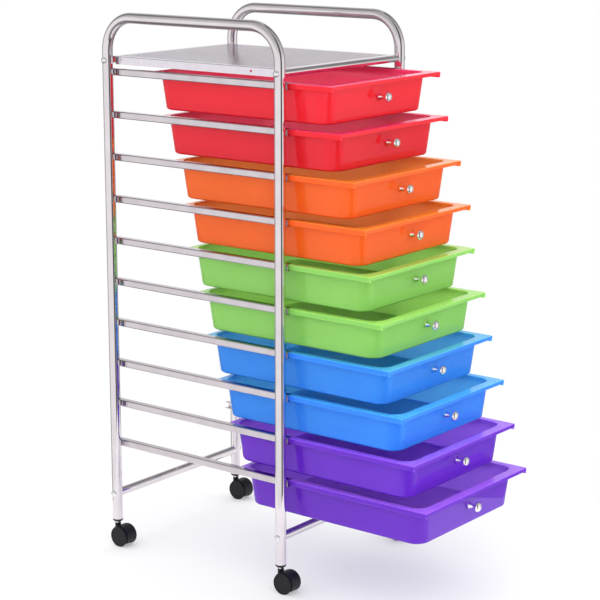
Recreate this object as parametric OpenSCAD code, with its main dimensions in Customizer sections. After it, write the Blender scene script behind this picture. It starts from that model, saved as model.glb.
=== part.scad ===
// Rolling drawer tower: a chrome tube frame on four casters carries ten moulded plastic drawers.
// Millimetres, +Z up, the front faces -Y. The origin is on the floor, under the middle of the
// whole footprint with the drawers pulled out as they stand here.

/* [Frame] */
// Post spacing across, centre to centre
frame_w = 340; // [300:1:400]
// Post spacing from front to back, centre to centre
frame_d = 385; // [340:1:450]
// Height to the top of the side hoops
frame_h = 978; // [950:1:1100]
// Outside diameter of the hoop tube
tube_d = 19; // [17:0.5:22]
// Wall of the hoop tube
tube_wall = 1.2; // [1:0.1:1.6]
// Centre-line radius of the hoop bends
bend_r = 58; // [40:1:62]
// Height of the posts' lower ends above the floor
foot_z = 49; // [47:1:60]

/* [Rails] */
// Depth of the middle of the top rail below the shelf
rail_drop = 28; // [27:1:40]
// Height of the middle of the bottom rail
rail_low_z = 192.5; // [185:0.5:200]
// Height of the C-section rail
rail_h = 12.5; // [12:0.5:15]
// Depth of the C-section rail
rail_depth = 12; // [10:0.5:13]
// Sheet thickness of the rail
rail_wall = 1; // [0.8:0.1:1.5]
// Radius of the rail's outer edges
rail_edge_r = 2.5; // [1.5:0.1:4]
// How far a rail runs past the post's centre at each end
rail_past = 8; // [2:0.5:9.5]

/* [Top shelf] */
// Depth of the shelf's top surface below the top of the hoops
shelf_drop = 78; // [73:1:80]
// Thickness of the perforated sheet
sheet_t = 1; // [0.8:0.1:1.5]
// Depth of the turned-down sides
skirt_h = 14; // [10:0.5:15]
// Diameter of the tubes under the front and rear edges
shelf_tube_d = 12; // [11:0.5:13]
// Spacing of the perforations
mesh_pitch = 19.5; // [18:0.5:21]
// Side of one perforation
mesh_hole = 14; // [10:0.5:16]
// Plain border beside the perforations
mesh_border = 12; // [8:1:25]
// Diameter of the spare holes in the turned-down sides
spare_hole_d = 4; // [3:0.5:5]
// Distance of the spare holes from the middle
spare_hole_y = 126; // [100:1:150]

/* [Cross bars] */
// Diameter of the lower cross bars
bar_d = 16; // [14:0.5:18]
// Height of the lower cross bars
bar_z = 98; // [85:1:110]
// Length of the threaded plugs in the bar ends
plug_l = 22; // [16:1:28]

/* [Frame screws] */
// Diameter of the screw's head
screw_head_d = 11; // [9:0.5:13]
// Height of the screw's head
screw_head_h = 3.4; // [2.5:0.1:4]
// Diameter of the screw's shank
screw_d = 5.8; // [5:0.1:6.5]
// Length of the screw's shank
screw_l = 34; // [30:1:38]
// Clearance round the shank in every hole
screw_gap = 0.1; // [0.05:0.05:0.3]

/* [Drawers] */
// Length of the rim from front to back
drawer_l = 400; // [380:1:404]
// Gap between a drawer's underside and the rim of the drawer below
drawer_gap = 9.5; // [8.5:0.5:20]
// Thickness of the walls and the floor
wall_t = 2; // [1.5:0.1:2.5]
// Outside radius of the corners at the floor
corner_low_r = 22; // [16:0.5:24]
// Outside radius of the corners at the rim
corner_top_r = 28; // [26:0.5:32]
// Radius between the walls and the floor
floor_r = 8; // [3:0.5:10]
// Thickness of the rim
rim_t = 2.5; // [2:0.1:3]
// Width of the rim in front of the front wall
rim_front = 16; // [13:0.5:20]
// Width of the rim behind the rear wall
rim_rear = 8; // [6:0.5:12]
// Width of the rim beside the side walls
rim_side = 11; // [10:0.5:12]
// Thickness of the runner at its foot
hook_t = 5; // [3:0.1:6]
// How much wider the runner is at the rim
hook_taper = 3; // [1:0.5:4]
// Height of the lip under the front and rear edges
lip_h = 6.5; // [4:0.5:8]
// Thickness of that lip
lip_t = 2.2; // [1.5:0.1:3]
// Side play between a runner and the back of its rail
side_play = 3.3; // [2:0.1:4]
// Play under a runner
slide_gap = 0.3; // [0.1:0.1:0.6]
// Play between the rim and the rail's upper flange
top_gap = 0.4; // [0.2:0.1:0.8]
// Distance of a closed drawer's rim in front of the post's centre
closed_front = 12.5; // [10:0.5:20]

/* [Drawers pulled out] */
// Drawer 1, at the top
out_1 = 84; // [0:1:300]
// Drawer 2
out_2 = 102; // [0:1:300]
// Drawer 3
out_3 = 130; // [0:1:300]
// Drawer 4
out_4 = 152; // [0:1:300]
// Drawer 5
out_5 = 162; // [0:1:300]
// Drawer 6
out_6 = 186; // [0:1:300]
// Drawer 7
out_7 = 202; // [0:1:300]
// Drawer 8
out_8 = 228; // [0:1:300]
// Drawer 9
out_9 = 252; // [0:1:300]
// Drawer 10, at the bottom
out_10 = 278; // [0:1:300]

/* [Knobs] */
// Diameter of the knob's head
knob_d = 17; // [14:0.5:20]
// Length of the knob from its seat to its face
knob_l = 22; // [18:0.5:26]
// Depth of the knob's centre below the rim
knob_drop = 30; // [26:0.5:34]
// Diameter of the knob's foot
knob_foot_d = 10; // [8:0.5:12]
// Diameter of the moulded seat on both sides of the wall
seat_d = 14; // [12.5:0.5:16]
// Height of that seat above the wall
seat_h = 1.6; // [1.4:0.1:2]
// Diameter of the knob's screw
knob_screw_d = 4; // [3:0.1:4.5]
// Diameter of the head of the knob's screw
knob_screw_head_d = 8; // [7:0.5:9]

/* [Casters] */
// Diameter of a wheel
wheel_d = 38; // [34:1:40]
// Width over both wheels
caster_w = 30; // [28:1:34]
// Width of a wheel's tread, which the hood leaves bare
tread_w = 3.5; // [3:0.5:5]
// Distance of the wheels' axle in front of the stem
trail = 14; // [12:0.5:16]
// How far the hood stands out past the treads
hood_rise = 1; // [0.5:0.5:1.5]
// Thickness of the hood over the wheels
hood_t = 2; // [1.5:0.1:2.5]
// Height of the hood's lower edge above the floor
hood_low_z = 8; // [6:0.5:12]
// Wall of the body beside the stem, between the wheels
web_wall = 1; // [0.8:0.1:1.5]
// Gap between a wheel and the body
wheel_gap = 0.5; // [0.3:0.1:0.8]
// Diameter of the body's neck
neck_d = 11; // [10:0.5:12]
// Diameter of the stem
stem_d = 7; // [6:0.5:8]
// Length of the stem inside the socket
stem_in = 24; // [18:1:28]
// Diameter of the bright collar on the stem
collar_d = 9.6; // [9:0.1:10.5]
// Height of that collar
collar_h = 2.6; // [1.5:0.1:3]
// Diameter of the axle
axle_d = 4; // [3:0.1:5]
// Height of the socket's cap under the post
cap_h = 5; // [4:0.5:6]
// Length of the socket inside the post
socket_l = 28; // [24:1:34]
// Radial clearance of every shaft that turns
turn_gap = 0.06; // [0.03:0.01:0.1]

/* [Hidden] */
$fn = 64;

rail_count = 10;
drawers_out = [out_1, out_2, out_3, out_4, out_5, out_6, out_7, out_8, out_9, out_10];
drawer_colours = ["#e43a46", "#e43a46", "#f6783c", "#f6783c", "#86cf5f", "#86cf5f",
                  "#3f82ee", "#3f82ee", "#7341c8", "#7341c8"];

// The hoops
post_x = frame_w / 2;
post_y = frame_d / 2;
post_face = post_x - tube_d / 2;
tube_in_r = tube_d / 2 - tube_wall;
hoop_z = frame_h - tube_d / 2;
cut = 1;

// The heights of the shelf and of the rails hang from the hoops' tops
shelf_z = frame_h - shelf_drop;
rail_top_z = shelf_z - rail_drop;
rail_pitch = (rail_top_z - rail_low_z) / (rail_count - 1);

// The drawers. Y values here are measured from the frame's centre.
drawer_h = rail_pitch - drawer_gap;
slope = (corner_top_r - corner_low_r) / (drawer_h - rim_t);
lean = atan(slope);
rim_half_w = post_face - rail_wall - side_play;
tub_half_w = rim_half_w - rim_side;
tub_l = drawer_l - rim_front - rim_rear;
hook_low = -rail_h / 2 + rail_wall + slide_gap;
rim_rise = rail_h / 2 - rail_wall - top_gap;
hook_h = rim_rise - hook_low;
seat_y = rim_front + slope * (knob_drop - rim_t) - seat_h;
seat_in_y = seat_y + wall_t / cos(lean) + 2 * seat_h;
knob_screw_head_h = 2.6;
knob_screw_bite = 9;

// The casters
axle_z = wheel_d / 2;
stem_low_z = axle_z + 4;
collar_z = foot_z - cap_h - slide_gap - collar_h;
web_w = stem_d + 2 * web_wall;
hood_w = caster_w - 2 * (tread_w + wheel_gap);
hood_r = wheel_d / 2 + hood_rise;
hood_in_r = hood_r - hood_t;
drum_r = hood_in_r - 2 * wheel_gap;
wheel_in_x = web_w / 2 + wheel_gap;
wheel_w = caster_w / 2 - wheel_in_x;
wheel_face_t = 3;
axle_half_l = wheel_in_x + wheel_w - wheel_face_t;
blind_gap = 0.5;

// The origin is under the middle of the footprint: from the lowest drawer's knob to the posts
front_y = -post_y - closed_front - max(drawers_out) + seat_y - knob_l;
back_y = post_y + tube_d / 2;
frame_y = -(front_y + back_y) / 2;

// The shelf's edge tubes reach half way into its sheet
shelf_tube_z = shelf_z - sheet_t / 2 - shelf_tube_d / 2;
plug_end_gap = 0.5;

function rail_z(i) = rail_top_z - rail_pitch * (i - 1);
function rim_z(i) = rail_z(i) + rim_rise;
function rim_y(i) = -post_y - closed_front - drawers_out[i - 1];

// Moves a piece from the frame's centre to its place over the origin
module in_frame() {
    translate([0, frame_y, 0]) children();
}

// A round bar along X, between two X values
module bar_x(r, x0, x1) {
    translate([x0, 0, 0]) rotate([0, 90, 0]) cylinder(r = r, h = x1 - x0);
}

// Both posts, both bends and the top of one hoop, as a solid bar of radius r
module hoop_bar(r, low_z) {
    bend_z = hoop_z - bend_r;
    for (side = [0, 1]) mirror([0, side, 0]) {
        translate([0, post_y, low_z]) cylinder(r = r, h = bend_z - low_z);
        translate([0, post_y - bend_r, bend_z]) rotate([90, 0, 90])
            rotate_extrude(angle = 90) translate([bend_r, 0]) circle(r = r);
    }
    translate([0, post_y - bend_r, hoop_z]) rotate([90, 0, 0])
        cylinder(r = r, h = frame_d - 2 * bend_r);
}

// Screw axes on one hoop: under the shelf's edge tubes and at the cross bars
module at_screws() {
    for (y = [-post_y, post_y], z = [shelf_tube_z, bar_z]) translate([0, y, z]) children();
}

// One hoop of bent tube, drilled across for its four screws
module side_frame() {
    color("gainsboro") difference() {
        hoop_bar(tube_d / 2, foot_z);
        hoop_bar(tube_in_r, foot_z - cut);
        at_screws() bar_x(screw_d / 2 + screw_gap, -tube_d, tube_d);
    }
}
module left_side_frame() in_frame() translate([-post_x, 0, 0]) side_frame();
module right_side_frame() in_frame() translate([post_x, 0, 0]) side_frame();

// Section of a C rail: its back is at x = 0 and it opens towards +X
module rail_section() {
    difference() {
        union() {
            translate([rail_edge_r, 0]) square([rail_depth - rail_edge_r, rail_h]);
            translate([0, rail_edge_r]) square([rail_edge_r, rail_h - 2 * rail_edge_r]);
            for (y = [rail_edge_r, rail_h - rail_edge_r]) translate([rail_edge_r, y]) circle(rail_edge_r);
        }
        translate([rail_wall, rail_wall]) square([rail_depth, rail_h - 2 * rail_wall]);
    }
}
module left_side_rails() {
    rail_l = frame_d + 2 * rail_past;
    for (i = [1:rail_count]) translate([-post_face, rail_l / 2, rail_z(i) - rail_h / 2])
        rotate([90, 0, 0]) linear_extrude(rail_l) rail_section();
}
module left_rails() color("silver") in_frame() left_side_rails();
module right_rails() color("silver") in_frame() mirror([1, 0, 0]) left_side_rails();

// The shelf: a perforated sheet with turned-down sides over two edge tubes
module top_shelf() {
    sheet_w = 2 * post_face;
    skirt_l = frame_d - shelf_tube_d;
    columns = 2 * floor((sheet_w / 2 - mesh_border) / mesh_pitch);
    rows = 2 * floor((skirt_l / 2 - mesh_border) / mesh_pitch);
    color("lightgray") in_frame() {
        translate([0, 0, shelf_z - sheet_t]) linear_extrude(sheet_t) difference() {
            square([sheet_w, frame_d], center = true);
            for (c = [0:columns - 1], r = [0:rows - 1])
                translate([(c - (columns - 1) / 2) * mesh_pitch, (r - (rows - 1) / 2) * mesh_pitch])
                    square(mesh_hole, center = true);
        }
        for (side = [0, 1]) mirror([side, 0, 0]) difference() {
            translate([post_face - sheet_t, -skirt_l / 2, shelf_z - skirt_h])
                cube([sheet_t, skirt_l, skirt_h - sheet_t]);
            for (y = [-spare_hole_y, spare_hole_y]) translate([0, y, shelf_z - skirt_h / 2])
                bar_x(spare_hole_d / 2, post_face - 2 * sheet_t, post_x);
        }
        for (y = [-post_y, post_y]) translate([0, y, shelf_tube_z]) cross_tube(shelf_tube_d);
    }
}

// A tube across the frame, its ends cut to sit round the posts
module cross_tube(d) {
    difference() {
        bar_x(d / 2, -post_x, post_x);
        bar_x(d / 2 - tube_wall, -post_x - cut, post_x + cut);
        for (x = [-post_x, post_x]) translate([x, 0, -d]) cylinder(d = tube_d, h = 2 * d);
    }
}
module front_crossbar() color("gainsboro") in_frame() translate([0, -post_y, bar_z]) cross_tube(bar_d);
module rear_crossbar() color("gainsboro") in_frame() translate([0, post_y, bar_z]) cross_tube(bar_d);

// Threaded plugs in the ends of the cross bars and of the shelf's edge tubes
module crossbar_plugs() {
    color("dimgray") in_frame() for (side = [0, 1]) mirror([side, 0, 0]) for (y = [-post_y, post_y]) {
        translate([0, y, bar_z]) tube_plug(bar_d / 2 - tube_wall);
        translate([0, y, shelf_tube_z]) tube_plug(shelf_tube_d / 2 - tube_wall);
    }
}
module tube_plug(r) {
    plug_end = post_face - plug_end_gap;
    difference() {
        bar_x(r, plug_end - plug_l, plug_end);
        bar_x(screw_d / 2 + screw_gap, plug_end - plug_l - cut, plug_end + cut);
    }
}

// Pan-head screws through the posts into the plugs
module frame_screws() {
    head_x = post_x + tube_d / 2;
    color("whitesmoke") in_frame() for (side = [0, 1]) mirror([side, 0, 0]) at_screws() {
        bar_x(screw_d / 2, head_x - screw_l, head_x);
        translate([head_x, 0, 0]) rotate([0, 90, 0]) screw_head(screw_head_d, screw_head_h);
    }
}

// A domed head on the XY plane with a cross recess in its top
module screw_head(d, h) {
    edge_h = h * 0.4;
    dome_r = (pow(d / 2, 2) + pow(h - edge_h, 2)) / (2 * (h - edge_h));
    slot_w = d * 0.14;
    slot_l = d * 0.5;
    difference() {
        intersection() {
            cylinder(d = d, h = h);
            translate([0, 0, h - dome_r]) sphere(r = dome_r);
        }
        for (turn = [0, 90]) rotate(turn) translate([-slot_l / 2, -slot_w / 2, h / 2])
            cube([slot_l, slot_w, h]);
    }
}

// Outline of the tub's wall beside a corner's centre, for a solid whose corners have radius
// low_r at height z0 and the walls' slope above it, up to height z1
module wall_outline(low_r, z0, z1, foot_r) {
    foot_x = low_r + foot_r * slope - foot_r / cos(lean);
    translate([foot_x, z0 + foot_r]) circle(foot_r);
    polygon([
        [0, z0],
        [foot_x, z0],
        [foot_x + foot_r * cos(lean), z0 + foot_r * (1 - sin(lean))],
        [low_r + (z1 - z0) * slope, z1],
        [0, z1]
    ]);
}

// A tub with leaning walls: four turned corners and the straight walls between them.
// The corner centres are half_x and half_y from the middle.
module tub_solid(half_x, half_y, low_r, z0, z1, foot_r) {
    for (sx = [-1, 1], sy = [-1, 1]) translate([sx * half_x, sy * half_y, 0])
        rotate_extrude() wall_outline(low_r, z0, z1, foot_r);
    for (sx = [0, 1]) mirror([sx, 0, 0]) translate([half_x, half_y, 0]) rotate([90, 0, 0])
        linear_extrude(2 * half_y) wall_outline(low_r, z0, z1, foot_r);
    for (sy = [0, 1]) mirror([0, sy, 0]) translate([-half_x, half_y, 0]) rotate([90, 0, 90])
        linear_extrude(2 * half_x) wall_outline(low_r, z0, z1, foot_r);
    translate([-half_x, -half_y, z0]) cube([2 * half_x, 2 * half_y, z1 - z0]);
}

// Section of the runner under the rim's side: a round foot, and an inner face that leans out to the rim
module runner_section() {
    foot_r = hook_t / 2;
    foot_x = rim_half_w - foot_r;
    translate([foot_x, foot_r - hook_h]) circle(foot_r);
    polygon([
        [rim_half_w, -rim_t / 2],
        [rim_half_w, foot_r - hook_h],
        [rim_half_w - hook_t, foot_r - hook_h],
        [rim_half_w - hook_t - hook_taper, -rim_t / 2]
    ]);
}

// One moulded drawer. Its rim's top is at z = 0 and its front edge at y = 0.
module drawer_shell() {
    lip_half_w = rim_half_w - hook_t / 2;
    half_x = tub_half_w - corner_top_r;
    half_y = tub_l / 2 - corner_top_r;
    low_z = -drawer_h;
    difference() {
        union() {
            translate([0, rim_front + tub_l / 2, 0])
                tub_solid(half_x, half_y, corner_low_r, low_z, -rim_t, floor_r);
            translate([-rim_half_w, 0, -rim_t]) cube([2 * rim_half_w, drawer_l, rim_t]);
            for (side = [0, 1]) mirror([side, 0, 0]) translate([0, drawer_l, 0]) rotate([90, 0, 0])
                linear_extrude(drawer_l) runner_section();
            for (y = [0, drawer_l - lip_t]) translate([-lip_half_w, y, -lip_h])
                cube([2 * lip_half_w, lip_t, lip_h - rim_t]);
            translate([0, seat_y, -knob_drop]) rotate([-90, 0, 0]) cylinder(d = seat_d, h = seat_h + wall_t);
        }
        translate([0, rim_front + tub_l / 2, 0])
            tub_solid(half_x, half_y, corner_low_r - wall_t, low_z + wall_t, cut, floor_r - wall_t / 2);
        translate([0, seat_y - cut, -knob_drop]) rotate([-90, 0, 0])
            cylinder(d = knob_screw_d + 2 * screw_gap, h = seat_in_y - seat_y + 2 * cut);
    }
}
module drawer(i) {
    color(drawer_colours[i - 1]) in_frame() translate([0, rim_y(i), rim_z(i)]) drawer_shell();
}

// Puts a piece on the axis of knob i: z = 0 is the seat's face, +Z points out of the drawer
module at_knob(i) {
    in_frame() translate([0, rim_y(i) + seat_y, rim_z(i) - knob_drop]) rotate([90, 0, 0]) children();
}

// A turned knob: a foot, a waisted neck and a domed head, with a blind hole for its screw
module knob(i) {
    foot_h = 1.4;
    head_h = knob_l * 0.36;
    neck_l = knob_l - head_h - foot_h;
    neck_r = knob_foot_d * 0.26;
    sweep_r = (pow(neck_l / 2, 2) + pow(knob_foot_d / 2 - neck_r, 2)) / (2 * (knob_foot_d / 2 - neck_r));
    edge_r = head_h * 0.3;
    dome_rise = head_h - 2 * edge_r;
    dome_r = (pow(knob_d / 2 - edge_r, 2) + pow(dome_rise, 2)) / (2 * dome_rise);
    color("lightgray") at_knob(i) difference() {
        union() {
            cylinder(d = knob_foot_d, h = foot_h);
            rotate_extrude() difference() {
                translate([0, foot_h]) square([knob_foot_d / 2, neck_l]);
                translate([neck_r + sweep_r, foot_h + neck_l / 2]) circle(sweep_r);
            }
            translate([0, 0, foot_h + neck_l]) rotate_extrude() {
                translate([knob_d / 2 - edge_r, edge_r]) circle(edge_r);
                square([knob_d / 2 - edge_r, 2 * edge_r]);
            }
            intersection() {
                translate([0, 0, knob_l - dome_r]) sphere(r = dome_r);
                translate([0, 0, knob_l - dome_rise]) cylinder(d = knob_d - 2 * edge_r, h = dome_rise);
            }
        }
        translate([0, 0, -cut])
            cylinder(d = knob_screw_d + 2 * turn_gap, h = cut + knob_screw_bite + blind_gap);
    }
}

// The screw that holds a knob, from inside its drawer
module knob_screw(i) {
    through = seat_in_y - seat_y;
    color("silver") at_knob(i) {
        translate([0, 0, -through]) cylinder(d = knob_screw_d, h = through + knob_screw_bite);
        translate([0, 0, -through]) rotate([180, 0, 0]) screw_head(knob_screw_head_d, knob_screw_head_h);
    }
}

// Sockets pressed into the posts' lower ends, with a chamfered cap and the stem's bore
module caster_sockets() {
    chamfer = 2.2;
    cap_r = tube_d / 2;
    color("#202022") in_frame() for (x = [-post_x, post_x], y = [-post_y, post_y])
        translate([x, y, foot_z]) difference() {
            union() {
                cylinder(r = tube_in_r, h = socket_l);
                translate([0, 0, chamfer - cap_h]) cylinder(r = cap_r, h = cap_h - chamfer);
                translate([0, 0, -cap_h]) cylinder(r1 = cap_r - chamfer, r2 = cap_r, h = chamfer);
            }
            translate([0, 0, -cap_h - cut])
                cylinder(d = stem_d + 2 * turn_gap, h = cap_h + stem_in + cut + blind_gap);
        }
}

// Puts a piece at one caster: its origin is on the floor under the stem
module at_caster(x, y) {
    in_frame() translate([x * post_x, y * post_y, 0]) children();
}

// The body: a web between the two wheels, a hood over their drums, and the neck that holds the stem
module caster_body(x, y) {
    color("#202022") at_caster(x, y) difference() {
        union() {
            translate([-hood_w / 2, -trail, axle_z]) rotate([90, 0, 90]) linear_extrude(hood_w) difference() {
                circle(hood_r);
                translate([-hood_r - cut, -2 * hood_r + hood_low_z - axle_z])
                    square([2 * hood_r + 2 * cut, 2 * hood_r]);
            }
            translate([0, 0, axle_z]) cylinder(d = neck_d, h = collar_z - axle_z);
        }
        for (side = [-1, 1]) translate([side * web_w / 2, -trail, axle_z]) rotate([0, side * 90, 0])
            cylinder(r = hood_in_r, h = caster_w);
        translate([0, 0, stem_low_z]) cylinder(d = stem_d, h = collar_z);
        translate([0, -trail, axle_z]) bar_x(axle_d / 2, -web_w, web_w);
    }
}
module caster_stem(x, y) {
    color("whitesmoke") at_caster(x, y) {
        translate([0, 0, stem_low_z]) cylinder(d = stem_d, h = foot_z + stem_in - stem_low_z);
        translate([0, 0, collar_z]) cylinder(d = collar_d, h = collar_h);
    }
}
module caster_axle(x, y) {
    color("silver") at_caster(x, y) translate([0, -trail, axle_z])
        bar_x(axle_d / 2, -axle_half_l, axle_half_l);
}

// A wheel at one side of the body: a drum under the hood, and the tread beside it.
// side is -1 or 1, towards -X or +X.
module caster_wheel(x, y, side) {
    edge_r = 1.2;
    face_rim = 2.4;
    dish_h = 0.7;
    dish_r = wheel_d / 2 - face_rim;
    bore_l = axle_half_l - wheel_in_x + blind_gap;
    color("#2a2a2d") at_caster(x, y) translate([0, -trail, axle_z]) rotate([0, side * 90, 0])
        translate([0, 0, wheel_in_x]) difference() {
            rotate_extrude() {
                square([drum_r, wheel_w - edge_r]);
                translate([0, wheel_w - tread_w]) square([wheel_d / 2 - edge_r, tread_w]);
                translate([0, wheel_w - tread_w + edge_r]) square([wheel_d / 2, tread_w - 2 * edge_r]);
                for (z = [wheel_w - tread_w + edge_r, wheel_w - edge_r])
                    translate([wheel_d / 2 - edge_r, z]) circle(edge_r);
            }
            translate([0, 0, wheel_w - dish_h])
                cylinder(r1 = dish_r - dish_h, r2 = dish_r + dish_h, h = 2 * dish_h);
            translate([0, 0, -cut]) cylinder(d = axle_d + 2 * turn_gap, h = cut + bore_l);
        }
}

left_side_frame();
right_side_frame();
left_rails();
right_rails();
top_shelf();
front_crossbar();
rear_crossbar();
crossbar_plugs();
frame_screws();
caster_sockets();
drawer(1);  // drawer_01
drawer(2);  // drawer_02
drawer(3);  // drawer_03
drawer(4);  // drawer_04
drawer(5);  // drawer_05
drawer(6);  // drawer_06
drawer(7);  // drawer_07
drawer(8);  // drawer_08
drawer(9);  // drawer_09
drawer(10);  // drawer_10
knob(1);  // knob_01
knob(2);  // knob_02
knob(3);  // knob_03
knob(4);  // knob_04
knob(5);  // knob_05
knob(6);  // knob_06
knob(7);  // knob_07
knob(8);  // knob_08
knob(9);  // knob_09
knob(10);  // knob_10
knob_screw(1);  // knob_screw_01
knob_screw(2);  // knob_screw_02
knob_screw(3);  // knob_screw_03
knob_screw(4);  // knob_screw_04
knob_screw(5);  // knob_screw_05
knob_screw(6);  // knob_screw_06
knob_screw(7);  // knob_screw_07
knob_screw(8);  // knob_screw_08
knob_screw(9);  // knob_screw_09
knob_screw(10);  // knob_screw_10
caster_body(-1, -1);  // caster_body_front_left
caster_stem(-1, -1);  // caster_stem_front_left
caster_axle(-1, -1);  // caster_axle_front_left
caster_wheel(-1, -1, -1);  // wheel_outer_front_left
caster_wheel(-1, -1, 1);  // wheel_inner_front_left
caster_body(1, -1);  // caster_body_front_right
caster_stem(1, -1);  // caster_stem_front_right
caster_axle(1, -1);  // caster_axle_front_right
caster_wheel(1, -1, 1);  // wheel_outer_front_right
caster_wheel(1, -1, -1);  // wheel_inner_front_right
caster_body(-1, 1);  // caster_body_rear_left
caster_stem(-1, 1);  // caster_stem_rear_left
caster_axle(-1, 1);  // caster_axle_rear_left
caster_wheel(-1, 1, -1);  // wheel_outer_rear_left
caster_wheel(-1, 1, 1);  // wheel_inner_rear_left
caster_body(1, 1);  // caster_body_rear_right
caster_stem(1, 1);  // caster_stem_rear_right
caster_axle(1, 1);  // caster_axle_rear_right
caster_wheel(1, 1, 1);  // wheel_outer_rear_right
caster_wheel(1, 1, -1);  // wheel_inner_rear_right
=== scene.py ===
"""A rolling drawer tower: two chrome hoops on casters carry ten moulded drawers and a mesh shelf.

Metres, +Z up, the knobs face -Y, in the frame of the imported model. Each section makes one piece or
one group of like pieces, in the order in which the real tower is put together.
"""

import math

import bpy
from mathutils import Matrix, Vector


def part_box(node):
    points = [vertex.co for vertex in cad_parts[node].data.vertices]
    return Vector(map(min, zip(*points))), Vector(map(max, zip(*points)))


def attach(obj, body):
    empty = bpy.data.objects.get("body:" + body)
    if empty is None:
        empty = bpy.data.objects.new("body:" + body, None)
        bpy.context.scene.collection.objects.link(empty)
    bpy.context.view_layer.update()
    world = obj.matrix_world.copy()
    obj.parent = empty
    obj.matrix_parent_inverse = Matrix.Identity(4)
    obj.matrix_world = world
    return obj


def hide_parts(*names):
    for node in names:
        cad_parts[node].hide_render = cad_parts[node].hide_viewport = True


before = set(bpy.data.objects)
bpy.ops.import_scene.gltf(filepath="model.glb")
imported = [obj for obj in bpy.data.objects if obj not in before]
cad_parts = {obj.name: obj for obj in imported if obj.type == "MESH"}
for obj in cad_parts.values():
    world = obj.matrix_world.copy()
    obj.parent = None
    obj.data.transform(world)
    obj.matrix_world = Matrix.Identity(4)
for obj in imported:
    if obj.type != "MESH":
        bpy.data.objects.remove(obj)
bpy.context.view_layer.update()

# ---------------------------------------------------------------------------
# The side frames. Each is one length of 19 mm steel tube, bent twice into a hoop whose two ends
# are the posts. The tube is polished and chrome plated, and slightly uneven along its length.
# ---------------------------------------------------------------------------


def new_finish(name):
    """A material with its own nodes: returns it with its shader and a function that adds a node."""
    finish = bpy.data.materials.new(name)
    finish.use_nodes = True
    tree = finish.node_tree
    shader = tree.nodes["Principled BSDF"]

    def add(kind, settings=(), **inputs):
        node = tree.nodes.new(kind)
        for key, value in dict(settings).items():
            setattr(node, key, value)
        for key, value in inputs.items():
            socket = node.inputs[key.replace("_", " ")]
            if isinstance(value, bpy.types.NodeSocket):
                tree.links.new(value, socket)
            else:
                socket.default_value = value
        return node

    return finish, shader, add


def plated_finish(name, bright, dim, patch_scale, gloss, haze):
    """Plated metal in two tones: gloss is its roughness, and haze is how much that varies."""
    finish, shader, add = new_finish(name)
    links = finish.node_tree.links
    place = add("ShaderNodeTexCoord").outputs["Object"]
    patches = add("ShaderNodeTexNoise", Vector=place, Scale=patch_scale, Detail=2.0, Roughness=0.5)
    tone = add("ShaderNodeValToRGB", Fac=patches.outputs["Fac"])
    tone.color_ramp.elements[0].position = 0.3
    tone.color_ramp.elements[0].color = (*dim, 1)
    tone.color_ramp.elements[1].position = 0.65
    tone.color_ramp.elements[1].color = (*bright, 1)
    links.new(tone.outputs["Color"], shader.inputs["Base Color"])
    rough = add("ShaderNodeMapRange", Value=patches.outputs["Fac"])
    rough.inputs["From Min"].default_value = 0.3
    rough.inputs["From Max"].default_value = 0.7
    rough.inputs["To Min"].default_value = gloss
    rough.inputs["To Max"].default_value = gloss + haze
    links.new(rough.outputs["Result"], shader.inputs["Roughness"])
    fine = add("ShaderNodeTexNoise", Vector=place, Scale=patch_scale * 25, Detail=2.0)
    grain = add("ShaderNodeBump", Strength=0.02, Distance=0.0001, Height=fine.outputs["Fac"])
    links.new(grain.outputs["Normal"], shader.inputs["Normal"])
    shader.inputs["Metallic"].default_value = 1.0
    return finish


def dress(names, finish):
    """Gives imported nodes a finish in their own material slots."""
    for name in names:
        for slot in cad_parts[name].material_slots:
            slot.material = finish


tube_chrome = plated_finish(
    "tube_chrome", (0.82, 0.77, 0.8), (0.76, 0.71, 0.74), patch_scale=22.0, gloss=0.04, haze=0.03)
dress(["left_side_frame", "right_side_frame"], tube_chrome)

# ---------------------------------------------------------------------------
# The rails. Ten pairs of C channels rolled from 1 mm steel strip, welded by their backs to the
# inner faces of the posts before the plating, so they carry the same chrome as the hoops.
# ---------------------------------------------------------------------------

# The rails' chrome is the hoops' chrome with its tones set darker: painted shade, for the shade
# between the drawers where the rails lie
shaded_rail_chrome = plated_finish(
    "shaded_rail_chrome", (0.7, 0.65, 0.69), (0.64, 0.59, 0.63), patch_scale=30.0, gloss=0.06, haze=0.04)


def new_block(name, low, high):
    """A box between two corners, with its place in its mesh, as the only thing selected."""
    bpy.ops.object.select_all(action="DESELECT")
    low, high = Vector(low), Vector(high)
    bpy.ops.mesh.primitive_cube_add(size=1, location=(low + high) / 2)
    block = bpy.context.object
    block.name = name
    block.scale = high - low
    bpy.ops.object.transform_apply(location=True, rotation=True, scale=True)
    return block


def pick(piece):
    """Makes a piece the only thing selected."""
    bpy.ops.object.select_all(action="DESELECT")
    piece.select_set(True)
    bpy.context.view_layer.objects.active = piece


def work(piece, kind, wanted, operator, **settings):
    """Selects the corners, edges or faces that pass the test and runs one edit operator on them."""
    pick(piece)
    bpy.ops.object.mode_set(mode="EDIT")
    bpy.ops.mesh.select_mode(type=kind)
    bpy.ops.mesh.select_all(action="DESELECT")
    bpy.ops.object.mode_set(mode="OBJECT")
    places = [corner.co.copy() for corner in piece.data.vertices]
    if kind == "VERT":
        for corner in piece.data.vertices:
            corner.select = wanted([corner.co])
    else:
        for element in piece.data.edges if kind == "EDGE" else piece.data.polygons:
            element.select = wanted([places[i] for i in element.vertices])
    bpy.ops.object.mode_set(mode="EDIT")
    operator(**settings)
    bpy.ops.object.mode_set(mode="OBJECT")


def at(axis, *values):
    """A test for work(): all corners lie at one of these values along an axis."""
    near = 2e-5
    return lambda places: any(all(abs(p[axis] - value) < near for p in places) for value in values)


def modify(piece, kind, **settings):
    """Adds a modifier and applies it."""
    pick(piece)
    modifier = piece.modifiers.new(kind.lower(), kind)
    for key, value in settings.items():
        setattr(modifier, key, value)
    bpy.ops.object.modifier_apply(modifier=modifier.name)


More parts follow.
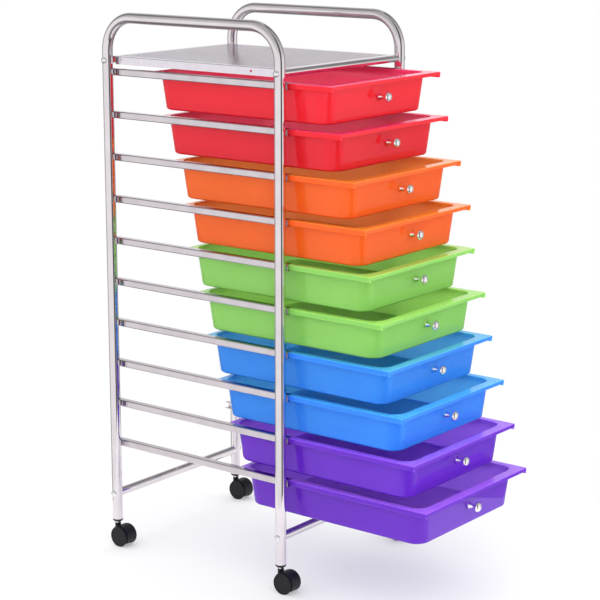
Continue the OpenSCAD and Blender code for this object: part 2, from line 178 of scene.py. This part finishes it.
def smooth(piece, degrees=35.0):
    """Smooth shading, with flat faces kept flat beside their rounded edges."""
    pick(piece)
    bpy.ops.object.shade_smooth_by_angle(angle=math.radians(degrees))
    modify(piece, "WEIGHTED_NORMAL", keep_sharp=True)


def copy_piece(piece, name, shift):
    """A second piece of the same shape, moved, with a mesh of its own."""
    twin = bpy.data.objects.new(name, piece.data.copy())
    twin.data.name = name
    twin.data.transform(Matrix.Translation(Vector(shift)))
    bpy.context.scene.collection.objects.link(twin)
    return twin


def fit(piece, finish, body, slot_name, *nodes):
    """Gives a finished piece its material and its body, and hides the nodes that it stands for. Its
    slot name is not used.
    """
    piece.data.materials.clear()
    piece.data.materials.append(finish)
    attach(piece, body)
    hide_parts(*nodes)


rail_count = 10
rail_h = 0.0125
rail_sheet = 0.001
rail_bend = 0.0025
rail_edge = 0.00025
for side, rails_node in ((-1, "left_rails"), (1, "right_rails")):
    rails_low, rails_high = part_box(rails_node)
    rail_step = (rails_high.z - rails_low.z - rail_h) / (rail_count - 1)
    back, mouth = (rails_low.x, rails_high.x) if side < 0 else (rails_high.x, rails_low.x)
    rail = new_block("rail", (rails_low.x, rails_low.y, rails_high.z - rail_h), rails_high)
    work(rail, "FACE", at(0, mouth), bpy.ops.mesh.delete, type="FACE")
    work(rail, "FACE", at(1, rails_low.y, rails_high.y), bpy.ops.mesh.delete, type="FACE")
    top_or_bottom = at(2, rails_high.z, rails_high.z - rail_h)
    work(rail, "EDGE", lambda places: at(0, back)(places) and top_or_bottom(places),
         bpy.ops.mesh.bevel, offset=rail_bend, segments=4)
    modify(rail, "SOLIDIFY", thickness=rail_sheet, offset=-1.0, use_even_offset=True)
    modify(rail, "BEVEL", width=rail_edge, segments=2, limit_method="ANGLE",
           angle_limit=math.radians(60))
    smooth(rail)
    for i in range(rail_count):
        one = copy_piece(rail, f"{rails_node[:-1]}_{i + 1:02d}", (0, 0, -rail_step * i))
        fit(one, shaded_rail_chrome, "frame", "chrome_rail", rails_node)
    bpy.data.objects.remove(rail)

# ---------------------------------------------------------------------------
# The top shelf. A sheet of fine perforated steel, its sides turned down, welded on a round tube
# at the front and one at the rear, then chrome plated.
# ---------------------------------------------------------------------------

mesh_chrome = plated_finish(
    "mesh_chrome", (0.82, 0.77, 0.84), (0.78, 0.73, 0.8), patch_scale=60.0, gloss=0.14, haze=0.04)
# The holes' upright edges: rougher chrome, with a darker tone that is painted shade inside the holes
shaded_cut_edge = plated_finish(
    "mesh_cut_edge_painted_shade", (0.5, 0.46, 0.56), (0.42, 0.38, 0.48), patch_scale=90.0, gloss=0.3, haze=0.1)

shelf_low, shelf_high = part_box("top_shelf")
shelf_middle = (shelf_low.y + shelf_high.y) / 2
sheet_half_w = -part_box("left_rails")[0].x
sheet_top = shelf_high.z
sheet_t = 0.001
shelf_tube_r = 0.006
tube_y = shelf_high.y - shelf_middle - shelf_tube_r
tube_z = sheet_top - sheet_t / 2 - shelf_tube_r
columns, rows, plain_cells = 64, 76, 2
cell_x, cell_y = 2 * sheet_half_w / columns, 2 * tube_y / rows
web_half = 0.0009
fold_r = 0.0016

bpy.ops.object.select_all(action="DESELECT")
bpy.ops.mesh.primitive_grid_add(x_subdivisions=columns, y_subdivisions=rows, size=1,
                                location=(0, shelf_middle, sheet_top))
sheet = bpy.context.object
sheet.name = "shelf_sheet"
sheet.scale = (2 * sheet_half_w, 2 * tube_y, 1)
bpy.ops.object.transform_apply(location=True, rotation=True, scale=True)


def middle_of(places):
    """The average place of some corners."""
    return sum(places, Vector((0, 0, 0))) / len(places)


def perforated(places):
    """A test for work(): a face of the sheet within its plain border."""
    middle = middle_of(places)
    return (abs(middle.x) < sheet_half_w - plain_cells * cell_x
            and abs(middle.y - shelf_middle) < tube_y - plain_cells * cell_y)


def open_up(**settings):
    """Insets the selected faces and deletes what is left inside them."""
    bpy.ops.mesh.inset(**settings)
    bpy.ops.mesh.delete(type="FACE")


work(sheet, "FACE", perforated, open_up, thickness=web_half, use_individual=True)

# The sides go down in three strips, so that the spare holes get a cell of their own
skirt_half_l = tube_y - plain_cells * cell_y
skirt_strips = (0.005, 0.004, 0.005)
spare_hole_y = 0.126
spare_hole_margin = 0.0003
hair = 1e-4
on_sides = at(0, -sheet_half_w, sheet_half_w)


def side_edge(height):
    """A test for work(): an edge of the sheet's sides at this height, short of the corners."""
    return lambda places: (on_sides(places) and at(2, height)(places)
                           and all(abs(p.y - shelf_middle) < skirt_half_l + hair for p in places))


skirt_edge = sheet_top
for drop in skirt_strips:
    work(sheet, "EDGE", side_edge(skirt_edge), bpy.ops.mesh.extrude_region_move,
         TRANSFORM_OT_translate={"value": (0, 0, -drop)})
    skirt_edge -= drop


def spare_hole(places):
    """A test for work(): the cells of the sides that hold the four spare screw holes."""
    middle = middle_of(places)
    hole_z = sheet_top - skirt_strips[0] - skirt_strips[1] / 2
    just_one_cell = 0.52 * cell_y
    return (on_sides(places) and abs(middle.z - hole_z) < hair
            and abs(abs(middle.y - shelf_middle) - spare_hole_y) < just_one_cell)


work(sheet, "FACE", spare_hole, open_up, thickness=spare_hole_margin)
work(sheet, "EDGE", side_edge(sheet_top), bpy.ops.mesh.bevel, offset=fold_r, segments=3)
modify(sheet, "SOLIDIFY", thickness=sheet_t, offset=-1.0, use_even_offset=True)
smooth(sheet, degrees=40.0)
fit(sheet, mesh_chrome, "frame", "chrome_mesh", "top_shelf")

# The holes' cut edges, which stand upright, are rougher than the face of the sheet, and darker:
# painted shade, for the shade inside the holes
sheet.data.materials.append(shaded_cut_edge)
for face in sheet.data.polygons:
    upright = abs(face.normal.z) < 0.5
    if upright and perforated([sheet.data.vertices[i].co for i in face.vertices]):
        face.material_index = 1


def new_rod(name, radius, start, end, sides=48):
    """A round bar between two points, with its place in its mesh, as the only thing selected."""
    bpy.ops.object.select_all(action="DESELECT")
    start, end = Vector(start), Vector(end)
    bpy.ops.mesh.primitive_cylinder_add(vertices=sides, radius=radius, depth=(end - start).length,
                                        location=(start + end) / 2,
                                        rotation=(end - start).to_track_quat("Z", "Y").to_euler())
    rod = bpy.context.object
    rod.name = name
    bpy.ops.object.transform_apply(location=True, rotation=True, scale=True)
    return rod


# The edge tubes end on the posts' round faces, so each is cut by its two posts
post_r = 0.0095
post_x = -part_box("left_side_frame")[0].x - post_r
cutter_half_l = 0.05
for end, where in ((-1, "front"), (1, "rear")):
    y = shelf_middle + end * tube_y
    tube = new_rod(f"shelf_tube_{where}", shelf_tube_r, (-post_x, y, tube_z), (post_x, y, tube_z))
    for x in (-post_x, post_x):
        post = new_rod("post", post_r, (x, y, tube_z - cutter_half_l),
                       (x, y, tube_z + cutter_half_l), sides=96)
        modify(tube, "BOOLEAN", object=post, operation="DIFFERENCE")
        bpy.data.objects.remove(post)
    smooth(tube)
    fit(tube, tube_chrome, "frame", "chrome_tube", "top_shelf")

# ---------------------------------------------------------------------------
# The lower cross bars and the screws. Two 16 mm tubes sit between the posts, and zinc plated
# pan-head screws go through the posts into threaded plugs in the tubes' ends.
# ---------------------------------------------------------------------------

dress(["front_crossbar", "rear_crossbar"], tube_chrome)
screw_zinc = plated_finish(
    "screw_zinc", (0.95, 0.95, 0.96), (0.86, 0.86, 0.88), patch_scale=300.0, gloss=0.12, haze=0.08)
dress(["frame_screws"], screw_zinc)


def moulded_finish(name, colour, pale, gloss):
    """Moulded plastic: soft flow marks between two near tones, and a fine even grain."""
    finish, shader, add = new_finish(name)
    links = finish.node_tree.links
    place = add("ShaderNodeTexCoord").outputs["Object"]
    flow = add("ShaderNodeTexNoise", Vector=place, Scale=60.0, Detail=4.0, Roughness=0.55)
    tone = add("ShaderNodeValToRGB", Fac=flow.outputs["Fac"])
    tone.color_ramp.elements[0].position = 0.3
    tone.color_ramp.elements[0].color = (*colour, 1)
    tone.color_ramp.elements[1].position = 0.75
    tone.color_ramp.elements[1].color = (*pale, 1)
    links.new(tone.outputs["Color"], shader.inputs["Base Color"])
    rough = add("ShaderNodeMapRange", Value=flow.outputs["Fac"])
    rough.inputs["To Min"].default_value = gloss
    rough.inputs["To Max"].default_value = gloss + 0.15
    links.new(rough.outputs["Result"], shader.inputs["Roughness"])
    grain_noise = add("ShaderNodeTexNoise", Vector=place, Scale=1800.0, Detail=2.0)
    grain = add("ShaderNodeBump", Strength=0.15, Distance=0.0002, Height=grain_noise.outputs["Fac"])
    links.new(grain.outputs["Normal"], shader.inputs["Normal"])
    return finish


black_plug = moulded_finish(
    "black_plug", (0.012, 0.012, 0.013), (0.028, 0.028, 0.03), gloss=0.4)
dress(["crossbar_plugs"], black_plug)

# ---------------------------------------------------------------------------
# The ten drawers. Each is one moulding of translucent polypropylene, in pairs of one colour: a
# tub with leaning walls, a flat rim, and a runner under each side of the rim that slides in its
# rail.
# ---------------------------------------------------------------------------


def drawer_finish(name, outer, inner, shine):
    """Glossy translucent polypropylene, which lets light through its thin walls.

    Faces that point upward, the tub's inner side and the rim's top, get a lighter tone: painted
    light, standing in for the light that the thin walls let into the tub.
    """
    dim = 0.94
    finish, shader, add = new_finish(name)
    links = finish.node_tree.links
    place = add("ShaderNodeTexCoord").outputs["Object"]
    cloud = add("ShaderNodeTexNoise", Vector=place, Scale=7.0, Detail=2.0, Roughness=0.5)
    # Painted light: the lighter tone is mixed in on faces that point upward, inside the tub and on
    # the rim
    normal = add("ShaderNodeNewGeometry").outputs["True Normal"]
    facing = add("ShaderNodeSeparateXYZ", Vector=normal)
    painted_light_mask = add("ShaderNodeMapRange", Value=facing.outputs["Z"])
    painted_light_mask.inputs["From Min"].default_value = 0.03
    painted_light_mask.inputs["From Max"].default_value = 0.08
    tones = []
    for colour in (outer, inner):
        tone = add("ShaderNodeValToRGB", Fac=cloud.outputs["Fac"])
        tone.color_ramp.elements[0].position = 0.3
        tone.color_ramp.elements[0].color = (*(dim * channel for channel in colour), 1)
        tone.color_ramp.elements[1].position = 0.75
        tone.color_ramp.elements[1].color = (*colour, 1)
        tones.append(tone.outputs["Color"])
    body = add("ShaderNodeMix", {"data_type": "RGBA"})
    links.new(painted_light_mask.outputs["Result"], body.inputs["Factor"])
    links.new(tones[0], body.inputs["A"])
    links.new(tones[1], body.inputs["B"])
    links.new(body.outputs["Result"], shader.inputs["Base Color"])
    skin = add("ShaderNodeTexNoise", Vector=place, Scale=40.0, Detail=2.0)
    rough = add("ShaderNodeMapRange", Value=skin.outputs["Fac"])
    rough.inputs["To Min"].default_value = 0.03
    rough.inputs["To Max"].default_value = 0.06
    links.new(rough.outputs["Result"], shader.inputs["Roughness"])
    wave = add("ShaderNodeTexNoise", Vector=place, Scale=16.0, Detail=1.0)
    swell = add("ShaderNodeBump", Strength=0.02, Distance=0.002, Height=wave.outputs["Fac"])
    links.new(swell.outputs["Normal"], shader.inputs["Normal"])
    shader.inputs["IOR"].default_value = 1.49
    shader.inputs["Subsurface Weight"].default_value = 1.0
    shader.inputs["Subsurface Radius"].default_value = (1.0, 1.0, 1.0)
    shader.inputs["Subsurface Scale"].default_value = 0.008
    shader.inputs["Specular Tint"].default_value = (*shine, 1)
    return finish


# The first drawer is modelled from its inner faces: a block with leaning sides and rounded corners
# becomes the tub, a flat rim is filled in round it, and the rim's edges are turned down.
tub_lean = 0.0062
drawer_wall = 0.002
tub_corner_r, floor_edge_r = 0.023, 0.0025
rim_front, rim_side, rim_rear = 0.016, 0.011, 0.008
lip_h, hook_h = 0.0065, 0.0098
hook_t, hook_taper, hook_foot_r = 0.005, 0.003, 0.0022
moulded_edge_r = 0.0004
low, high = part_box("drawer_01")
drawer_y = (low.y + high.y) / 2
share_of_lean_in_rim = 0.04
inside = drawer_wall - tub_lean * share_of_lean_in_rim
tub_front, tub_rear = low.y + rim_front + inside, high.y - rim_rear - inside
tub_floor = low.z + drawer_wall
half_x, half_y = high.x - rim_side - inside, (tub_rear - tub_front) / 2
tub_middle = (0, (tub_front + tub_rear) / 2, tub_floor)
drawer = new_block("drawer", (-half_x, tub_front, tub_floor), (half_x, tub_rear, high.z))
floor_corners = at(2, tub_floor)
work(drawer, "VERT", floor_corners, bpy.ops.transform.resize,
     value=((half_x - tub_lean) / half_x, (half_y - tub_lean) / half_y, 1),
     center_override=tub_middle)
work(drawer, "EDGE", lambda places: abs(places[0].z - places[1].z) > drawer_wall,
     bpy.ops.mesh.bevel, offset=tub_corner_r, segments=10)
work(drawer, "EDGE", floor_corners, bpy.ops.mesh.bevel, offset=floor_edge_r, segments=4)
work(drawer, "FACE", at(2, high.z), bpy.ops.mesh.delete, type="FACE")

bpy.ops.object.select_all(action="DESELECT")
bpy.ops.mesh.primitive_plane_add(size=1, location=(0, drawer_y, high.z))
rim = bpy.context.object
rim.scale = (high.x - low.x, high.y - low.y, 1)
bpy.ops.object.transform_apply(location=True, rotation=True, scale=True)
drawer.select_set(True)
bpy.context.view_layer.objects.active = drawer
bpy.ops.object.join()
work(drawer, "FACE", at(2, high.z), bpy.ops.mesh.delete, type="ONLY_FACE")
work(drawer, "EDGE", at(2, high.z), bpy.ops.mesh.fill, use_beauty=True)
work(drawer, "FACE", lambda places: True, bpy.ops.mesh.normals_make_consistent, inside=False)

# The rim's edge goes down all round as the lip, and further down at the sides
rim_sides = at(0, low.x, high.x)
rim_ends = at(1, low.y, high.y)
work(drawer, "EDGE", lambda places: rim_sides(places) or rim_ends(places),
     bpy.ops.mesh.extrude_region_move, TRANSFORM_OT_translate={"value": (0, 0, -lip_h)})
work(drawer, "EDGE", lambda places: rim_sides(places) and at(2, high.z - lip_h)(places),
     bpy.ops.mesh.extrude_region_move, TRANSFORM_OT_translate={"value": (0, 0, lip_h - hook_h)})
modify(drawer, "SOLIDIFY", thickness=drawer_wall, offset=-1.0, use_even_offset=True)

# Under the rim's sides the turned edge is thickened into the runner, with a round foot
under_rim = high.z - 1.5 * drawer_wall
for end, inner_x in ((-1, low.x + drawer_wall), (1, high.x - drawer_wall)):
    inward = -end * (hook_t - drawer_wall)
    work(drawer, "VERT", at(0, inner_x), bpy.ops.transform.translate, value=(inward, 0, 0))
    thick_face = at(0, inner_x + inward)
    work(drawer, "VERT", lambda places: thick_face(places) and places[0].z > under_rim,
         bpy.ops.transform.translate, value=(-end * hook_taper, 0, 0))
hook_foot = at(2, high.z - hook_h)
work(drawer, "EDGE", lambda places: hook_foot(places) and abs(places[0].y - places[1].y) > hook_t,
     bpy.ops.mesh.bevel, offset=hook_foot_r, segments=4)

# The knob's seat, a low round boss on the leaning front
knob_low, knob_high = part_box("knob_01")
knob_z = (knob_low.z + knob_high.z) / 2
seat_r, seat_h = 0.007, 0.0028
seat = new_rod("seat", seat_r, (0, knob_high.y, knob_z), (0, knob_high.y + seat_h, knob_z),
               sides=64)
work(seat, "EDGE", at(1, knob_high.y), bpy.ops.mesh.bevel, offset=moulded_edge_r, segments=3)
modify(drawer, "BOOLEAN", object=seat, operation="UNION")
bpy.data.objects.remove(seat)
modify(drawer, "BEVEL", width=moulded_edge_r, segments=2, limit_method="ANGLE",
       angle_limit=math.radians(40), use_clamp_overlap=False)
smooth(drawer)

# For each colour: the tone of the outer side, the lighter tone of painted light on the faces that
# point upward, and the tint of its highlights
drawer_colours = {
    "red": ((0.7, 0.017, 0.026), (1.0, 0.045, 0.16), (1.0, 0.5, 0.7)),
    "orange": ((0.94, 0.12, 0.014), (1.0, 0.27, 0.034), (1.0, 0.8, 0.6)),
    "green": ((0.24, 0.55, 0.12), (0.4, 0.76, 0.15), (0.9, 1.0, 0.6)),
    "blue": ((0.04, 0.23, 0.97), (0.08, 0.46, 1.0), (0.3, 1.0, 0.9)),
    "purple": ((0.14, 0.024, 0.53), (0.36, 0.13, 0.96), (0.9, 0.6, 1.0)),
}
drawer_count = 2 * len(drawer_colours)
for pair, (colour, tones) in enumerate(drawer_colours.items()):
    polypropylene = drawer_finish(f"polypropylene_{colour}", *tones)
    for number in (2 * pair + 1, 2 * pair + 2):
        node = f"drawer_{number:02d}"
        one = copy_piece(drawer, f"drawer_moulding_{number:02d}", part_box(node)[1] - high)
        fit(one, polypropylene, node, f"plastic_{colour}", node)
bpy.data.objects.remove(drawer)

# ---------------------------------------------------------------------------
# The knobs. Turned from metal with a round foot that narrows to a slim neck and a domed head,
# polished and plated, and each held from inside its drawer by one pan-head screw.
# ---------------------------------------------------------------------------

knob_chrome = plated_finish(
    "knob_chrome", (0.98, 0.97, 0.97), (0.94, 0.93, 0.94), patch_scale=90.0, gloss=0.17, haze=0.06)


def turn_on(piece, middle, radius, steps):
    """Draws a round bar's end out along -Y; each step is the next radius and the way to it."""
    middle = Vector(middle)
    for wanted, length in steps:
        work(piece, "FACE", at(1, middle.y), bpy.ops.mesh.extrude_region_move,
             TRANSFORM_OT_translate={"value": (0, -length, 0)})
        middle.y -= length
        work(piece, "FACE", at(1, middle.y), bpy.ops.transform.resize,
             value=(wanted / radius, 1, wanted / radius), center_override=middle)
        radius = wanted


knob_foot_r, knob_foot_l = 0.0058, 0.0008
knob_cone = ((0.0056, 0.0003), (0.0044, 0.0026), (0.0032, 0.0026))
knob_neck = ((0.0027, 0.0015), (0.0025, 0.0018), (0.0027, 0.0018), (0.0032, 0.0012))
knob_head = (
    (0.0045, 0.0012), (0.0058, 0.0006), (0.0070, 0.0004), (0.0078, 0.0004), (0.0083, 0.0008),
    (0.0085, 0.0010), (0.0083, 0.0010), (0.0077, 0.0010), (0.0069, 0.0010), (0.0058, 0.0008),
    (0.0044, 0.0007), (0.0028, 0.0004), (0.0012, 0.0001),
)
knob_foot_end = (0, knob_high.y - knob_foot_l, knob_z)
knob = new_rod("knob", knob_foot_r, (0, knob_high.y, knob_z), knob_foot_end)
turn_on(knob, knob_foot_end, knob_foot_r, knob_cone + knob_neck + knob_head)
smooth(knob, degrees=50.0)
for number in range(1, drawer_count + 1):
    node = f"knob_{number:02d}"
    one = copy_piece(knob, f"knob_turned_{number:02d}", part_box(node)[1] - knob_high)
    fit(one, knob_chrome, f"drawer_{number:02d}", "chrome_knob", node)
bpy.data.objects.remove(knob)
dress([f"knob_screw_{number:02d}" for number in range(1, drawer_count + 1)], screw_zinc)

# ---------------------------------------------------------------------------
# The casters. Black nylon twin-wheel casters: a hooded body between two wheels on a steel axle,
# whose stem turns in a socket pressed into the post.
# ---------------------------------------------------------------------------

caster_nylon = moulded_finish(
    "caster_nylon", (0.007, 0.007, 0.01), (0.012, 0.012, 0.017), gloss=0.3)
wheel_nylon = moulded_finish(
    "wheel_nylon", (0.008, 0.008, 0.01), (0.014, 0.014, 0.018), gloss=0.38)
nylon_shine = 0.22
for nylon in (caster_nylon, wheel_nylon):
    shader = nylon.node_tree.nodes["Principled BSDF"]
    shader.inputs["Specular IOR Level"].default_value = nylon_shine
corners = ("front_left", "front_right", "rear_left", "rear_right")
dress(["caster_sockets"], black_plug)
dress([f"caster_body_{corner}" for corner in corners], caster_nylon)
dress([f"caster_{part}_{corner}" for part in ("stem", "axle") for corner in corners], screw_zinc)
dress([f"wheel_{side}_{corner}" for side in ("outer", "inner") for corner in corners], wheel_nylon)

# ---------------------------------------------------------------------------
# The studio, which is not part of the tower: a round of pale floor, a white room like a light
# tent, two soft lamps and the camera.
# ---------------------------------------------------------------------------

scene = bpy.context.scene
scene.view_settings.view_transform = "Standard"

# The floor is matt. Seen directly, in a mirror or through something, it is lifted towards the
# white of the room, so that its edge doesn't show while the tower's shadow does.
floor_r = 0.62
floor_tone, floor_lift = 0.62, 0.3
bpy.ops.object.select_all(action="DESELECT")
bpy.ops.mesh.primitive_circle_add(
    vertices=128, radius=floor_r, fill_type="NGON", location=(0, 0, 0))
floor = bpy.context.object
floor.name = "studio_floor"
floor_paint, shader, add = new_finish("studio_floor")
floor_links = floor_paint.node_tree.links
shader.inputs["Base Color"].default_value = (floor_tone, floor_tone, floor_tone, 1)
shader.inputs["Roughness"].default_value = 0.9
shader.inputs["Specular IOR Level"].default_value = 0.0
path = add("ShaderNodeLightPath")
seen = add("ShaderNodeMath", {"operation": "MAXIMUM"})
floor_links.new(path.outputs["Is Camera Ray"], seen.inputs[0])
floor_links.new(path.outputs["Is Glossy Ray"], seen.inputs[1])
through = add("ShaderNodeMath", {"operation": "MAXIMUM"})
floor_links.new(seen.outputs[0], through.inputs[0])
floor_links.new(path.outputs["Is Transmission Ray"], through.inputs[1])
lift = add("ShaderNodeMath", {"operation": "MULTIPLY"})
floor_links.new(through.outputs[0], lift.inputs[0])
lift.inputs[1].default_value = floor_lift
shader.inputs["Emission Color"].default_value = (1, 1, 1, 1)
floor_links.new(lift.outputs[0], shader.inputs["Emission Strength"])
floor.data.materials.append(floor_paint)

# The room is white to the camera. What shines sees it with a few darker upright bands, as between
# the panels of a light tent, with a dimmer ceiling and a dark strip round the pale floor.
room = bpy.data.worlds.new("light_tent")
scene.world = room
room.use_nodes = True
room_nodes = room.node_tree.nodes
room_links = room.node_tree.links
room_nodes.clear()
heading = room_nodes.new("ShaderNodeTexCoord")
split = room_nodes.new("ShaderNodeSeparateXYZ")
turn = room_nodes.new("ShaderNodeMath")
turn.operation = "ARCTAN2"
share = room_nodes.new("ShaderNodeMapRange")
panels = room_nodes.new("ShaderNodeValToRGB")
room_links.new(heading.outputs["Generated"], split.inputs[0])
room_links.new(split.outputs["X"], turn.inputs[0])
room_links.new(split.outputs["Y"], turn.inputs[1])
room_links.new(turn.outputs[0], share.inputs["Value"])
share.inputs["From Min"].default_value = -math.pi
share.inputs["From Max"].default_value = math.pi
room_links.new(share.outputs["Result"], panels.inputs["Fac"])

# Each dark band's start and width, as shares of the way round from the front by the left side,
# and its tone
bands = ((0.0, 0.1, 0.1), (0.43, 0.13, 0.42), (0.68, 0.173, 0.42))
panel_tone, band_edge = 0.96, 0.015
tent = panels.color_ramp
for wall_end in tent.elements:
    wall_end.color = (panel_tone, panel_tone, panel_tone, 1)
for start, width, band_tone in bands:
    for from_start, value in ((0, panel_tone), (band_edge, band_tone),
                              (width - band_edge, band_tone), (width, panel_tone)):
        tent.elements.new(start + from_start).color = (value, value, value, 1)

# How bright the room is at each height, from straight down at 0 to straight up at 1
below, above = 0.3, 0.52
heights = ((0.2, below), (0.27, 1.0), (0.56, 1.0), (0.66, 0.72), (0.85, above))
height = room_nodes.new("ShaderNodeMapRange")
room_links.new(split.outputs["Z"], height.inputs["Value"])
height.inputs["From Min"].default_value = -1.0
ceiling = room_nodes.new("ShaderNodeValToRGB")
room_links.new(height.outputs["Result"], ceiling.inputs["Fac"])
levels = ceiling.color_ramp
levels.elements[0].color = (below, below, below, 1)
levels.elements[1].color = (above, above, above, 1)
for height_share, value in heights:
    levels.elements.new(height_share).color = (value, value, value, 1)

# Matt surfaces are lit by plain white light, the camera sees white, and what shines sees the tent
plain_strength = 1.35
light_path = room_nodes.new("ShaderNodeLightPath")
plain = room_nodes.new("ShaderNodeBackground")
plain.inputs["Color"].default_value = (1, 1, 1, 1)
plain.inputs["Strength"].default_value = plain_strength
white = room_nodes.new("ShaderNodeBackground")
white.inputs["Color"].default_value = (1, 1, 1, 1)
tent_light = room_nodes.new("ShaderNodeBackground")
room_links.new(panels.outputs["Color"], tent_light.inputs["Color"])
room_links.new(ceiling.outputs["Color"], tent_light.inputs["Strength"])
glossy_mix = room_nodes.new("ShaderNodeMixShader")
camera_mix = room_nodes.new("ShaderNodeMixShader")
out = room_nodes.new("ShaderNodeOutputWorld")
room_links.new(light_path.outputs["Is Glossy Ray"], glossy_mix.inputs["Fac"])
room_links.new(plain.outputs[0], glossy_mix.inputs[1])
room_links.new(tent_light.outputs[0], glossy_mix.inputs[2])
room_links.new(light_path.outputs["Is Camera Ray"], camera_mix.inputs["Fac"])
room_links.new(glossy_mix.outputs[0], camera_mix.inputs[1])
room_links.new(white.outputs[0], camera_mix.inputs[2])
room_links.new(camera_mix.outputs[0], out.inputs["Surface"])

# Two soft boxes: the larger one high on the left of the front, the smaller on the right
middle_z = 0.5
for lamp_name, lamp_at, lamp_size, watts in (
    ("soft_box_left", (-2.6, -2.4, 1.9), 2.2, 24.0),
    ("soft_box_right", (1.6, -3.2, 1.6), 1.8, 10.0),
):
    lamp_data = bpy.data.lights.new(lamp_name, "AREA")
    lamp_data.size = lamp_size
    lamp_data.energy = watts
    lamp = bpy.data.objects.new(lamp_name, lamp_data)
    scene.collection.objects.link(lamp)
    lamp.location = lamp_at
    lamp.visible_glossy = False
    aim = Vector((0, 0, middle_z)) - lamp.location
    lamp.rotation_euler = aim.to_track_quat("-Z", "Y").to_euler()

# The camera stands at the front left and looks a little down, as in the photograph
eye = (-2.5414, -1.9380, 1.2038)
camera_turn = 0.9092
camera_dip = 0.2231
camera_data = bpy.data.cameras.new("camera")
camera_data.sensor_width = 36.0
camera_data.lens = 111.56
camera = bpy.data.objects.new("camera", camera_data)
scene.collection.objects.link(camera)
camera.location = eye
camera.rotation_euler = (math.pi / 2 - camera_dip, 0, -camera_turn)
scene.camera = camera
